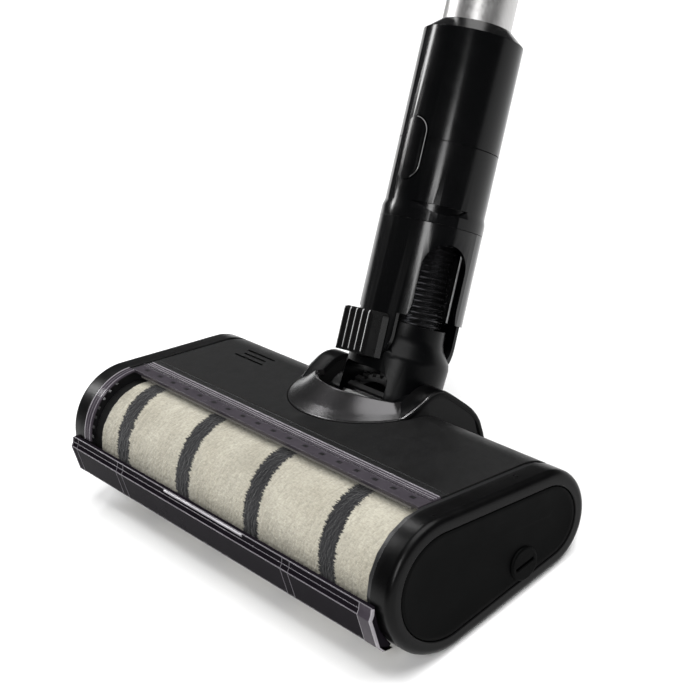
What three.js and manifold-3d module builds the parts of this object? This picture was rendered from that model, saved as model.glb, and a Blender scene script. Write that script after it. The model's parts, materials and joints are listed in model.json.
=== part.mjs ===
// Powered soft-roller floor head of a stick sweeper, with its two-axis neck and the lower end of its wand.
// Millimetres, +Z up, the front of the head towards -Y. The head stands on the plane Z = 0.

import * as THREE from 'three';
import { mergeVertices } from 'three/addons/utils/BufferGeometryUtils.js';
import Module from 'manifold-3d';

// ---------------------------------------------------------------- driving dimensions

const gap = 0.3;                 // clearance between neighbouring pieces
const over = 1;                  // how far a cutting tool runs past what it cuts

const headWidth = 250;
const capWidth = 12;
const sidePlate = 2.4;
const frontRadius = 31.1;        // front lobe of the head's side outline
const rearRadius = 23.7;         // rear lobe
const lobeSpacing = 60.7;
const groundGap = 1.2;           // sole and caps ride this far above the floor
const wall = 2.4;
const coverSeamY = 19;           // front edge of the top cover
const capFillet = 5.5;
const panelInset = 6.6;

const rollerRadius = 29;
const rollerHalf = 108;
const pileLeft = -103;
const pileRight = 109.4;
const coreRadius = 22;
const chamberRadius = 31;

const pulleyLarge = 14;
const pulleySmall = 5;
const pulleyInner = 113.8;       // X of the pulleys' inner face
const pulleyWidth = 6.4;
const motorY = 60.7;
const motorZ = 25;
const motorRadius = 12;

const pivotY = 76;               // pitch axis of the neck
const pivotZ = 28 + groundGap;
const cradleY = 74;              // centre of the cradle's round front
const cradleRadius = 41;
const cradleInner = 29.8;        // half the clear width between the ears
const cradleRear = 104;
const rimRadius = 42;            // plan radius of the band's top edge
const rimCentreY = 92.5;
const rimHalf = 31;
const rimHeight = 60.4;          // at the front of the band
const rimSlope = 0.547;          // the rim falls this much per millimetre towards the rear
const pitchPin = 4;

const wheelRadius = 9;
const wheelWidth = 6;
const wheelX = 35.5;
const wheelY = 92.5;

const neckTilt = THREE.MathUtils.degToRad(37.2);   // back from upright, as parked
const neckLean = THREE.MathUtils.degToRad(-4.8);   // sideways swing at the knuckle
const yokeRadius = 25;
const slotHalf = 15.8;
const drumRadius = 19;
const knuckle = 41;              // distance of the knuckle axis from the pitch axis
const bossRadius = 13;
const lugFace = 20.3;             // half the distance over the yoke's knuckle lugs
const throatRadius = 17;
const shellRadius = 26;
const shellWall = 2.4;
const shellBottom = 52;
const shellTop = 97.5;
const archHalf = 12.2;
const archTop = 89;
const archAngle = THREE.MathUtils.degToRad(18);    // side arches face this far forward of sideways
const pedalShift = -1.2;
const socketTop = 137;
const wandRadius = 25.2;
const collarTop = 192;
const tubeRadius = 17.4;
const tubeWall = 1.2;
const tubeTop = 262;
const spigotRadius = 20.5;
const spigotBottom = 104;
const buttonWidth = 15.5;
const buttonBottom = 116;
const buttonTop = 147;

const frontCentreZ = frontRadius + groundGap;
const rearCentreZ = rearRadius + groundGap;
const coverSlope = 2 * Math.atan((frontRadius - rearRadius) / lobeSpacing);
const bodyHalf = headWidth / 2 - capWidth - sidePlate - 2 * gap;
const plateInner = bodyHalf + gap;
const capInner = headWidth / 2 - capWidth;

// ---------------------------------------------------------------- materials

function plastic(color, roughness) {
  return new THREE.MeshStandardMaterial({ color, roughness, metalness: 0 });
}

function metal(color, roughness) {
  return new THREE.MeshStandardMaterial({ color, roughness, metalness: 1 });
}

const matteBlack = plastic(0x161617, 0.55);
const satinBlack = plastic(0x0d0d0e, 0.35);
const glossBlack = plastic(0x0b0b0c, 0.12);
const ribBlack = plastic(0x101011, 0.6);
const smokeClear = plastic(0x6c6870, 0.08);
const windowClear = plastic(0xb9b4b4, 0.05);
const plushCream = plastic(0xc9c3b3, 0.95);
const innerGrey = plastic(0x5b5d60, 0.6);
const rubber = plastic(0x1a1a1a, 0.85);
const boardGreen = plastic(0x1e5a35, 0.5);
const hoseBlack = plastic(0x19191a, 0.45);
const brushedAluminium = metal(0xc9cacb, 0.3);
const steel = metal(0x9a9c9e, 0.3);

// ---------------------------------------------------------------- solids

const wasm = await Module();
wasm.setup();

function toSolid(geometry) {
  const bare = geometry.clone();
  bare.deleteAttribute('normal');
  bare.deleteAttribute('uv');
  const merged = mergeVertices(bare, 1e-4);
  return new wasm.Manifold(new wasm.Mesh({
    numProp: 3,
    vertProperties: Float32Array.from(merged.attributes.position.array),
    triVerts: Uint32Array.from(merged.index.array),
  }));
}

function toGeometry(solid) {
  const mesh = solid.getMesh();
  const geometry = new THREE.BufferGeometry();
  geometry.setAttribute('position', new THREE.BufferAttribute(mesh.vertProperties, 3));
  geometry.setIndex(new THREE.BufferAttribute(mesh.triVerts, 1));
  return geometry;
}

function cut(base, ...tools) {
  return toGeometry(tools.reduce((solid, tool) => solid.subtract(toSolid(tool)), toSolid(base)));
}

function join(base, ...others) {
  return toGeometry(others.reduce((solid, other) => solid.add(toSolid(other)), toSolid(base)));
}

function meet(base, other) {
  return toGeometry(toSolid(base).intersect(toSolid(other)));
}

function box(x0, x1, y0, y1, z0, z1) {
  const geometry = new THREE.BoxGeometry(x1 - x0, y1 - y0, z1 - z0);
  return geometry.translate((x0 + x1) / 2, (y0 + y1) / 2, (z0 + z1) / 2);
}

// A rod between two points on one axis: 'x', 'y' or 'z'.
function rod(axis, radius, from, to, a = 0, b = 0, sides = 32) {
  const geometry = new THREE.CylinderGeometry(radius, radius, to - from, sides);
  const middle = (from + to) / 2;
  if (axis === 'x') {
    return geometry.rotateZ(-Math.PI / 2).translate(middle, a, b);
  }
  if (axis === 'y') {
    return geometry.translate(a, middle, b);
  }
  return geometry.rotateX(Math.PI / 2).translate(a, b, middle);
}

// A turned piece about Z: pairs of radius and height, walked up the outside and down the inside.
function turned(profile, sides = 36) {
  const points = profile.map(([radius, height]) => new THREE.Vector2(radius, height));
  if (profile[0][0] > 0) {
    points.push(points[0].clone());
  }
  return new THREE.LatheGeometry(points, sides).rotateX(Math.PI / 2);
}

// Turned pieces that lie along X.
function turnedAlongX(profile, sides = 36) {
  return turned(profile, sides).rotateY(Math.PI / 2);
}

// A side outline in Y and Z, pushed along X.
function alongX(shape, x0, x1, curveSegments = 16) {
  const settings = { depth: x1 - x0, bevelEnabled: false, curveSegments };
  const basis = new THREE.Matrix4().makeBasis(
    new THREE.Vector3(0, 1, 0), new THREE.Vector3(0, 0, 1), new THREE.Vector3(1, 0, 0));
  return new THREE.ExtrudeGeometry(shape, settings).applyMatrix4(basis).translate(x0, 0, 0);
}

// A plan outline in X and Y, pushed up Z.
function alongZ(shape, z0, z1, curveSegments = 24) {
  const settings = { depth: z1 - z0, bevelEnabled: false, curveSegments };
  return new THREE.ExtrudeGeometry(shape, settings).translate(0, 0, z0);
}

// A skin through rings of equal point counts, closed by a fan at each end.
function loft(rings) {
  const count = rings[0].length;
  const positions = rings.flat().flatMap((point) => [point.x, point.y, point.z]);
  const index = [];
  for (let ring = 0; ring < rings.length - 1; ring += 1) {
    for (let i = 0; i < count; i += 1) {
      const next = (i + 1) % count;
      const a = ring * count + i;
      const b = ring * count + next;
      index.push(a, b, b + count, a, b + count, a + count);
    }
  }
  const last = (rings.length - 1) * count;
  for (let i = 1; i < count - 1; i += 1) {
    index.push(0, i + 1, i);
    index.push(last, last + i, last + i + 1);
  }
  const geometry = new THREE.BufferGeometry();
  geometry.setAttribute('position', new THREE.Float32BufferAttribute(positions, 3));
  geometry.setIndex(index);
  return geometry;
}

// ---------------------------------------------------------------- assembly helpers

const sweeper = new THREE.Group();
const neckLower = new THREE.Group();
const neckSwing = new THREE.Group();
const neckUpper = new THREE.Group();

neckLower.position.set(0, pivotY, pivotZ);
neckLower.rotation.x = -neckTilt;
neckSwing.position.z = knuckle;
neckSwing.rotation.y = neckLean;
neckUpper.position.z = -knuckle;
sweeper.add(neckLower);
neckLower.add(neckSwing);
neckSwing.add(neckUpper);

function place(group, name, geometry, material) {
  const mesh = new THREE.Mesh(geometry, material.clone());
  mesh.name = name;
  group.add(mesh);
}

// ---------------------------------------------------------------- side outline of the head

// Points of the two-lobed outline in Y and Z, moved inwards by inset.
function lobePoints(inset, steps = 11) {
  const top = Math.PI / 2 - coverSlope;
  const points = [];
  for (let i = 0; i <= steps; i += 1) {
    const angle = top + (1.5 * Math.PI - top) * (i / steps);
    const radius = frontRadius - inset;
    points.push(new THREE.Vector2(radius * Math.cos(angle), frontCentreZ + radius * Math.sin(angle)));
  }
  for (let i = 0; i <= steps; i += 1) {
    const angle = -Math.PI / 2 + (top + Math.PI / 2) * (i / steps);
    const radius = rearRadius - inset;
    points.push(new THREE.Vector2(
      lobeSpacing + radius * Math.cos(angle), rearCentreZ + radius * Math.sin(angle)));
  }
  return points;
}

function lobeRing(x, inset, steps) {
  return lobePoints(inset, steps).map((point) => new THREE.Vector3(x, point.x, point.y));
}

function lobeSlab(x0, x1, inset, steps) {
  return loft([lobeRing(x0, inset, steps), lobeRing(x1, inset, steps)]);
}

// Height of the top cover's outer face over the floor at a given Y.
function coverHeight(y) {
  const reach = frontCentreZ * Math.cos(coverSlope) + frontRadius;
  return (reach - y * Math.sin(coverSlope)) / Math.cos(coverSlope);
}

function mirrored(geometry) {
  const flipped = geometry.clone().scale(-1, 1, 1);
  const index = flipped.index;
  for (let i = 0; i < index.count; i += 3) {
    const second = index.getX(i + 1);
    index.setX(i + 1, index.getX(i + 2));
    index.setX(i + 2, second);
  }
  return flipped;
}

// ---------------------------------------------------------------- end caps, panels and side plates

const lockY = 43;
const lockZ = 14.5;
const lockRadius = 8;

function endCap(lockHole) {
  const outer = headWidth / 2;
  const rings = [lobeRing(capInner, 0)];
  for (let i = 0; i <= 4; i += 1) {
    const turn = (i / 4) * Math.PI / 2;
    const x = outer - capFillet * (1 - Math.cos(Math.PI / 2 - turn));
    rings.push(lobeRing(x, capFillet * (1 - Math.sin(Math.PI / 2 - turn))));
  }
  const pocket = lobeSlab(capInner - over, outer - 4.2, wall, 9);
  const recess = lobeSlab(outer - 1.3, outer + over, panelInset, 11);
  const tools = [pocket, recess];
  if (lockHole) {
    tools.push(rod('x', lockRadius + gap, outer - 6, outer + over, lockY, lockZ));
  }
  return cut(loft(rings), ...tools);
}

function sidePanel(lockHole) {
  const outer = headWidth / 2;
  const panel = lobeSlab(outer - 1, outer, panelInset + gap, 11);
  if (!lockHole) {
    return join(panel, panel);
  }
  return cut(panel, rod('x', lockRadius + gap, outer - 2, outer + over, lockY, lockZ));
}

function sideWall(holes) {
  return cut(lobeSlab(plateInner, plateInner + sidePlate, 0.6, 11), ...holes);
}

place(sweeper, 'right_end_cap', endCap(true), satinBlack);
place(sweeper, 'left_end_cap', mirrored(endCap(false)), satinBlack);
place(sweeper, 'right_side_panel', sidePanel(true), satinBlack);
place(sweeper, 'left_side_panel', mirrored(sidePanel(false)), satinBlack);

const rollerZ = rollerRadius;
const plateHoleLeft = 12.3;
const bearingOuter = 7.7;

place(sweeper, 'right_side_plate', sideWall([
  rod('x', bearingOuter + gap, plateInner - over, capInner, 0, rollerZ),
]), innerGrey);
place(sweeper, 'left_side_plate', mirrored(sideWall([
  rod('x', plateHoleLeft, plateInner - over, capInner, 0, rollerZ),
  rod('x', 3, plateInner - over, capInner, motorY, motorZ, 20),
])), innerGrey);

function capLock() {
  const outer = headWidth / 2;
  const disc = turnedAlongX([
    [0, outer - 3.9], [lockRadius, outer - 3.9], [lockRadius, outer - 0.2], [lockRadius - 0.8, outer + 0.4],
    [0, outer + 0.4],
  ], 32).translate(0, lockY, lockZ);
  const coinSlot = box(outer - 1.2, outer + over, lockY - 5.5, lockY + 5.5, lockZ - 0.8, lockZ + 0.8);
  return cut(disc, coinSlot);
}

place(sweeper, 'cap_lock', capLock(), satinBlack);

// ---------------------------------------------------------------- cradle footprint, shared by its neighbours

// Round in front, straight sides running back past the head.
function cradleOutline(inset, frontSteps = 26) {
  const radius = cradleRadius - inset;
  const points = [];
  for (let i = 0; i <= frontSteps; i += 1) {
    const angle = Math.PI + Math.PI * (i / frontSteps);
    points.push(new THREE.Vector2(radius * Math.cos(angle), cradleY + radius * Math.sin(angle)));
  }
  points.push(new THREE.Vector2(radius, cradleRear - 4 - inset));
  points.push(new THREE.Vector2(radius - 4, cradleRear - inset));
  points.push(new THREE.Vector2(4 - radius, cradleRear - inset));
  points.push(new THREE.Vector2(-radius, cradleRear - 4 - inset));
  return points;
}

function cradlePrism(inset, z0, z1) {
  return alongZ(new THREE.Shape(cradleOutline(inset)), z0, z1);
}

const cradleClearance = cradlePrism(-gap, -over, 90);

// ---------------------------------------------------------------- top cover and its vents

function topCover() {
  const top = Math.PI / 2 - coverSlope;
  const end = THREE.MathUtils.degToRad(-78);
  const inner = rearRadius - wall;
  const shape = new THREE.Shape();
  shape.moveTo(coverSeamY, coverHeight(coverSeamY));
  shape.lineTo(coverSeamY, coverHeight(coverSeamY) - wall / Math.cos(coverSlope));
  shape.absarc(lobeSpacing, rearCentreZ, inner, top, end, true);
  shape.absarc(lobeSpacing, rearCentreZ, rearRadius, end, top, false);
  const skin = alongX(shape, -bodyHalf, bodyHalf, 14);
  const vents = [];
  const rows = [[56.4, 24.4], [60.3, 18.6], [64.3, 23.9]];
  for (const [y, length] of rows) {
    const slot = box(-78.6 - length / 2, -78.6 + length / 2, y - 0.7, y + 0.7, 30, 60);
    vents.push(slot);
  }
  return cut(skin, cradleClearance, ...vents);
}

place(sweeper, 'top_cover', topCover(), matteBlack);

// ---------------------------------------------------------------- window strip and light strip over the roller

// A band of the front lobe between two angles, measured from the rear horizontal.
function lobeBand(outer, inner, from, to) {
  const shape = new THREE.Shape();
  shape.absarc(0, frontCentreZ, outer, from, to, false);
  shape.absarc(0, frontCentreZ, inner, to, from, true);
  return shape;
}

function windowStrip() {
  const rear = coverSeamY - gap;
  const front = 6.2;
  const thickness = 2;
  const frontTop = frontCentreZ + Math.sqrt(frontRadius * frontRadius - front * front);
  const shape = new THREE.Shape();
  shape.moveTo(rear, coverHeight(rear) - thickness / Math.cos(coverSlope));
  shape.lineTo(rear, coverHeight(rear));
  shape.lineTo(14.4, coverHeight(14.4));
  shape.lineTo(14.4, coverHeight(14.4) + 0.7);
  shape.lineTo(13.2, coverHeight(13.2) + 0.7);
  shape.lineTo(13.2, coverHeight(13.2));
  shape.lineTo(frontRadius * Math.sin(coverSlope), coverHeight(frontRadius * Math.sin(coverSlope)));
  shape.lineTo(front, frontTop);
  shape.lineTo(front, frontTop - thickness);
  return alongX(shape, -bodyHalf, bodyHalf);
}

function lightStrip() {
  const from = THREE.MathUtils.degToRad(62);
  const to = THREE.MathUtils.degToRad(76);
  const board = alongX(lobeBand(28.5, 27.4, from, to), -104, 104, 6);
  const lights = [];
  for (let i = 0; i < 9; i += 1) {
    const x = -96 + i * 24;
    const angle = THREE.MathUtils.degToRad(69);
    const light = new THREE.BoxGeometry(3.6, 3, 1).rotateX(angle - Math.PI / 2);
    lights.push(light.translate(x, 28.5 * Math.cos(angle), frontCentreZ + 28.5 * Math.sin(angle)));
  }
  return join(board, ...lights);
}

place(sweeper, 'window_strip', windowStrip(), windowClear);
place(sweeper, 'light_strip', lightStrip(), boardGreen);

// ---------------------------------------------------------------- front bumper

function bumperStrip() {
  const inner = frontRadius + gap;
  const upper = Math.PI - Math.asin((39.4 - frontCentreZ) / inner);
  const lower = Math.PI + Math.asin((frontCentreZ - 17.6) / inner);
  const shape = new THREE.Shape();
  shape.absarc(0, frontCentreZ, inner, upper, lower, false);
  shape.lineTo(-29.6, 16.6);
  shape.lineTo(-32.6, 17.2);
  shape.lineTo(-34.6, 20.5);
  shape.lineTo(-35, 34.6);
  shape.lineTo(-33.4, 36.4);
  shape.lineTo(-32.4, 39);
  return alongX(shape, -121, 117, 8);
}

place(sweeper, 'bumper_strip', bumperStrip(), smokeClear);

// ---------------------------------------------------------------- lower housing, duct, seal and screws

const ductHalf = 25;
const ductBottom = 4.2;
const ductTop = 40;
const screwSpots = [[-98, 41], [98, 41], [-47, 58], [47, 58]];

function lowerHousing() {
  const outer = chamberRadius + 2;
  const soleTop = groundGap + wall;
  const shape = new THREE.Shape();
  const upper = THREE.MathUtils.degToRad(56);
  const lowOuter = Math.asin((soleTop - rollerZ) / outer);
  const lowInner = Math.asin((groundGap - rollerZ) / chamberRadius);
  shape.moveTo(lobeSpacing + 3.6, groundGap);
  shape.lineTo(lobeSpacing + 3.6, soleTop);
  shape.absarc(0, rollerZ, outer, lowOuter, upper, false);
  shape.absarc(0, rollerZ, chamberRadius, upper, lowInner, true);
  const floorPan = alongX(shape, -bodyHalf, bodyHalf, 12);
  const motorRests = [-92, -66].map((x) => cut(
    box(x, x + 3, 50, 63.6, soleTop - 0.5, 19), rod('x', motorRadius + gap, x - over, x + 4, motorY, motorZ)));
  const mouth = box(-ductHalf + 2, ductHalf - 2, 10, 40, ductBottom + 2, ductTop - 2);
  const sealGroove = box(-rollerHalf + 3, rollerHalf - 3, 25.7, 28.3, -over, 2.6);
  const screwHoles = screwSpots.flatMap(([x, y]) => [
    rod('z', 1.9, -over, 9, x, y, 10),
    rod('z', 3.5, -over, groundGap + 1, x, y, 10),
  ]);
  return cut(join(floorPan, ...motorRests), cradleClearance, mouth, sealGroove, ...screwHoles);
}

function suctionDuct() {
  const outside = box(-ductHalf, ductHalf, 33.8, 53.5, ductBottom, ductTop);
  const inside = box(-ductHalf + 1.8, ductHalf - 1.8, 30, 60, ductBottom + 1.8, ductTop - 1.8);
  return cut(outside, inside);
}

function soleScrew(x, y) {
  return turned([
    [0, groundGap - 0.6], [3, groundGap - 0.6], [3, groundGap + 0.7], [1.5, groundGap + 0.7], [1.5, 8.6], [0, 8.6],
  ], 10).translate(x, y, 0);
}

place(sweeper, 'lower_housing', lowerHousing(), innerGrey);
place(sweeper, 'suction_duct', suctionDuct(), innerGrey);
place(sweeper, 'rear_seal', box(-rollerHalf + 3.3, rollerHalf - 3.3, 26, 28, 0.5, 2.3), rubber);
screwSpots.forEach(([x, y], i) => place(sweeper, `sole_screw_${i + 1}`, soleScrew(x, y), steel));

// ---------------------------------------------------------------- roller

function rollerPile() {
  return turnedAlongX([
    [coreRadius + gap, pileLeft], [rollerRadius - 2, pileLeft], [rollerRadius, pileLeft + 2.5],
    [rollerRadius, pileRight - 2.5], [rollerRadius - 2, pileRight], [coreRadius + gap, pileRight],
  ]).translate(0, 0, rollerZ);
}

function rollerCore() {
  return turnedAlongX([
    [coreRadius - 2, -rollerHalf + 4], [coreRadius, -rollerHalf + 4],
    [coreRadius, rollerHalf - 4], [coreRadius - 2, rollerHalf - 4],
  ]).translate(0, 0, rollerZ);
}

const hubRadius = coreRadius - 2 - gap;

function driveHub() {
  const hub = turnedAlongX([
    [0, -rollerHalf - 0.6], [coreRadius - 1, -rollerHalf - 0.6], [coreRadius - 1, -rollerHalf + 3.6],
    [hubRadius, -rollerHalf + 3.6], [hubRadius, -rollerHalf + 16], [0, -rollerHalf + 16],
  ], 28).translate(0, 0, rollerZ);
  return cut(hub, rod('x', 7.4, -rollerHalf - 2, -rollerHalf + 9, 0, rollerZ, 6));
}

function idleHub() {
  const hub = turnedAlongX([
    [0, rollerHalf - 16], [hubRadius, rollerHalf - 16], [hubRadius, rollerHalf - 3.6],
    [coreRadius - 1, rollerHalf - 3.6], [coreRadius - 1, rollerHalf + 0.6], [0, rollerHalf + 0.6],
  ], 28).translate(0, 0, rollerZ);
  return cut(hub, rod('x', 3.8 + gap, rollerHalf - 10, rollerHalf + 2, 0, rollerZ, 24));
}

place(sweeper, 'roller_pile', rollerPile(), plushCream);
place(sweeper, 'roller_end_ring', turnedAlongX([
  [coreRadius + gap, -rollerHalf - 1.4], [rollerRadius - 1.5, -rollerHalf - 1.4],
  [rollerRadius - 1.5, pileLeft - gap], [coreRadius + gap, pileLeft - gap],
], 36).translate(0, 0, rollerZ), matteBlack);
place(sweeper, 'roller_core', rollerCore(), innerGrey);
place(sweeper, 'roller_drive_hub', driveHub(), matteBlack);
place(sweeper, 'roller_idle_hub', idleHub(), matteBlack);
place(sweeper, 'roller_axle', rod('x', 3.8, rollerHalf - 9.6, capInner + 1, 0, rollerZ, 24), steel);
place(sweeper, 'end_bearing', turnedAlongX([
  [3.8 + gap, plateInner], [bearingOuter, plateInner],
  [bearingOuter, plateInner + sidePlate], [3.8 + gap, plateInner + sidePlate],
], 32).translate(0, 0, rollerZ), steel);

// ---------------------------------------------------------------- motor, belt and pulleys

function pulley(radius, bore) {
  const inner = -pulleyInner;
  const outer = -pulleyInner - pulleyWidth;
  return turnedAlongX([
    [bore, outer], [radius + 1.2, outer], [radius + 1.2, outer + 0.8], [radius, outer + 0.8],
    [radius, inner - 0.8], [radius + 1.2, inner - 0.8], [radius + 1.2, inner], [bore, inner],
  ], radius > 10 ? 24 : 14);
}

function drivenPulley() {
  const wheel = pulley(pulleyLarge, 0).translate(0, 0, rollerZ);
  const neck = rod('x', 9, -pulleyInner - over, -rollerHalf - 1.2, 0, rollerZ, 24);
  const dog = rod('x', 7, -rollerHalf - 2, -rollerHalf + 8.4, 0, rollerZ, 6);
  return join(wheel, neck, dog);
}

// Outline round two circles that lie along Y.
function beltLoop(large, small) {
  const spread = Math.hypot(motorY, motorZ - rollerZ);
  const lean = Math.atan2(motorZ - rollerZ, motorY);
  const side = Math.acos((large - small) / spread);
  const shape = new THREE.Shape();
  shape.absarc(0, rollerZ, large, lean + side, lean - side + 2 * Math.PI, false);
  shape.absarc(motorY, motorZ, small, lean - side, lean + side, false);
  return shape;
}

function driveBelt() {
  const x0 = -pulleyInner - pulleyWidth + 1.2;
  const x1 = -pulleyInner - 1.2;
  const outside = alongX(beltLoop(pulleyLarge + gap + 1.2, pulleySmall + gap + 1.2), x0, x1, 12);
  const inside = alongX(beltLoop(pulleyLarge + gap, pulleySmall + gap), x0 - over, x1 + over, 12);
  return cut(outside, inside);
}

function driveMotor() {
  const can = turnedAlongX([
    [0, -99.7], [5, -99.7], [5, -98], [motorRadius - 1, -98], [motorRadius, -97],
    [motorRadius, -57], [motorRadius - 1, -56], [0, -56],
  ], 32).translate(0, motorY, motorZ);
  return cut(can, rod('x', 1.5 + gap, -101, -92, motorY, motorZ, 16));
}

place(sweeper, 'driven_pulley', drivenPulley(), matteBlack);
place(sweeper, 'motor_pulley', pulley(pulleySmall, 1.5 + gap).translate(0, motorY, motorZ), steel);
place(sweeper, 'motor_shaft', rod('x', 1.5, -120.4, -92.5, motorY, motorZ, 16), steel);
place(sweeper, 'drive_belt', driveBelt(), rubber);
place(sweeper, 'drive_motor', driveMotor(), steel);

function controlBoard() {
  const board = box(52, 100, 45, 63, 4, 5.6);
  const parts = [
    box(56, 68, 48, 56, 5, 12), box(73, 79, 47, 60, 5, 15), box(85, 97, 56, 62, 5, 10),
    rod('z', 3.6, 5, 19, 91, 50, 14),
  ];
  return join(board, ...parts);
}

place(sweeper, 'control_board', controlBoard(), boardGreen);

// ---------------------------------------------------------------- neck cradle with its ears

// Side outline of an ear: nearly level on top, falling to a round rear corner.
function earShape() {
  const outline = [
    [20, 1.8], [101, 1.8], [103.4, 5], [104.2, 12], [104.2, 19], [103.4, 26], [100.6, 32.8], [95, 40.6],
    [89.6, 47.6], [86.6, 50.8], [83.6, 52.8], [80, 53.8], [76, 53.9], [68.2, 52.2], [60.6, 50.3], [20, 50.3],
  ];
  return new THREE.Shape(outline.map(([y, z]) => new THREE.Vector2(y, z)));
}

// Side outline of the base: the same rear, topped by the plane of the cover.
function baseShape() {
  const outline = [
    [20, 1.8], [101, 1.8], [103.4, 5], [104.2, 12], [104.2, 19], [103.4, 26], [100.6, 32.8], [94.6, 41],
    [94.4, coverHeight(94.4) + 0.2], [20, coverHeight(20) + 0.2],
  ];
  return new THREE.Shape(outline.map(([y, z]) => new THREE.Vector2(y, z)));
}

function rimPoint(x, inset) {
  const radius = rimRadius - inset;
  const y = rimCentreY - Math.sqrt(radius * radius - x * x);
  const front = rimCentreY - rimRadius;
  return new THREE.Vector3(x, y, rimHeight - rimSlope * (y - front));
}

// The satin band: from the round base up and back to the sloping rim.
function frontBand() {
  const outline = cradleOutline(1.4);
  const reach = outline[0].x;
  const onCover = (drop) => outline.map((point) => new THREE.Vector3(
    point.x, point.y, coverHeight(point.y) - drop));
  const rim = (inset, drop) => outline.map((point, i) => {
    const onFront = i < outline.length - 4;
    const top = rimPoint((point.x / Math.abs(reach)) * rimHalf, inset);
    top.z -= drop;
    if (!onFront) {
      top.y = 70;
      top.z = rimHeight - rimSlope * (70 - rimCentreY + rimRadius) - drop;
    }
    return top;
  });
  const band = loft([onCover(3), onCover(-0.6), rim(-0.7, 1.0), rim(0.3, 0)]);
  return meet(band, box(-50, 50, 20, 69.5, 20, 80));
}

function neckCradle() {
  const base = meet(cradlePrism(0, 1.8, 80), alongX(baseShape(), -60, 60));
  const ears = meet(cradlePrism(0, 1.8, 80), alongX(earShape(), -60, 60));
  const earSides = cut(ears, box(-cradleInner, cradleInner, 0, 120, 0, 90), box(-60, 60, 0, 58, 0, 90));
  const rimHollow = rod('z', rimRadius - 2.2, 42, 100, 0, rimCentreY, 72);
  const deep = new THREE.Shape();
  deep.moveTo(-cradleInner, cradleRear + 5);
  deep.lineTo(-cradleInner, 56);
  deep.quadraticCurveTo(-cradleInner + 1, 50.6, -16, 49.6);
  deep.lineTo(16, 49.6);
  deep.quadraticCurveTo(cradleInner - 1, 50.6, cradleInner, 56);
  deep.lineTo(cradleInner, cradleRear + 5);
  const hollow = join(
    meet(rimHollow, box(-cradleInner, cradleInner, 30, cradleRear + 5, 42, 100)),
    alongZ(deep, 3.8, 50, 5));
  const ductHole = box(
    -ductHalf - gap, ductHalf + gap, 20, 55, ductBottom - gap, ductTop + gap);
  const pinHoles = rod('x', pitchPin + gap, -38.3, 38.3, pivotY, pivotZ, 28);
  const wells = [];
  for (const side of [-1, 1]) {
    const x = side * wheelX;
    const half = wheelWidth / 2 + 0.6;
    wells.push(rod('x', wheelRadius + 1.2, x - half, x + half, wheelY, wheelRadius, 24));
    wells.push(box(
      x - half, x + half, wheelY - wheelRadius - 1.2, wheelY + wheelRadius + 1.2, -over, wheelRadius));
    wells.push(rod('x', 1.5 + gap, x - 4.6, x + 4.6, wheelY, wheelRadius, 12));
  }
  return cut(join(base, earSides, frontBand()), hollow, ductHole, pinHoles, ...wells);
}

place(sweeper, 'neck_cradle', neckCradle(), satinBlack);

for (const [name, side] of [['left', -1], ['right', 1]]) {
  const x = side * wheelX;
  const half = wheelWidth / 2;
  place(sweeper, `${name}_pitch_pin`, rod(
    'x', pitchPin, Math.min(side * 17, side * 38), Math.max(side * 17, side * 38), pivotY, pivotZ, 28), steel);
  place(sweeper, `${name}_wheel`, turnedAlongX([
    [1.5 + gap, -half], [wheelRadius - 1, -half], [wheelRadius, -half + 1],
    [wheelRadius, half - 1], [wheelRadius - 1, half], [1.5 + gap, half],
  ], 20).translate(x, wheelY, wheelRadius), rubber);
  place(sweeper, `${name}_wheel_axle`, rod('x', 1.5, x - 4.3, x + 4.3, wheelY, wheelRadius, 16), steel);
}

// Ribbed air drum on the pitch axis, open to the duct in front and to the neck above.
function pivotDrum() {
  const ribs = 22;
  const points = [];
  for (let i = 0; i < ribs; i += 1) {
    for (const [part, radius] of [[0, drumRadius], [0.45, drumRadius], [0.55, 17.4], [0.9, 17.4]]) {
      const angle = ((i + part) / ribs) * 2 * Math.PI;
      points.push(new THREE.Vector2(radius * Math.cos(angle), radius * Math.sin(angle)));
    }
  }
  const drum = alongX(new THREE.Shape(points), -slotHalf + 0.6, slotHalf - 0.6);
  const bore = rod('x', 15, -slotHalf, slotHalf, 0, 0, 36);
  const inlet = box(-11, 11, -30, -4, -13, 4);
  const outlet = box(-11, 11, -2, 22, 6, 30);
  return cut(drum, bore, inlet, outlet).translate(0, pivotY, pivotZ);
}

place(sweeper, 'pivot_drum', pivotDrum(), ribBlack);

// ---------------------------------------------------------------- yoke of the neck

// Frame of the neck: origin on the pitch axis, +Z up the neck, -Y its front.
function slotTool() {
  const top = 24;
  const corner = 5;
  const shape = new THREE.Shape();
  shape.moveTo(-slotHalf, -40);
  shape.lineTo(slotHalf, -40);
  shape.absarc(slotHalf - corner, top - corner, corner, 0, Math.PI / 2, false);
  shape.absarc(corner - slotHalf, top - corner, corner, Math.PI / 2, Math.PI, false);
  const settings = { depth: 80, bevelEnabled: false, curveSegments: 6 };
  return new THREE.ExtrudeGeometry(shape, settings).rotateX(Math.PI / 2).translate(0, 40, 0);
}

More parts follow.
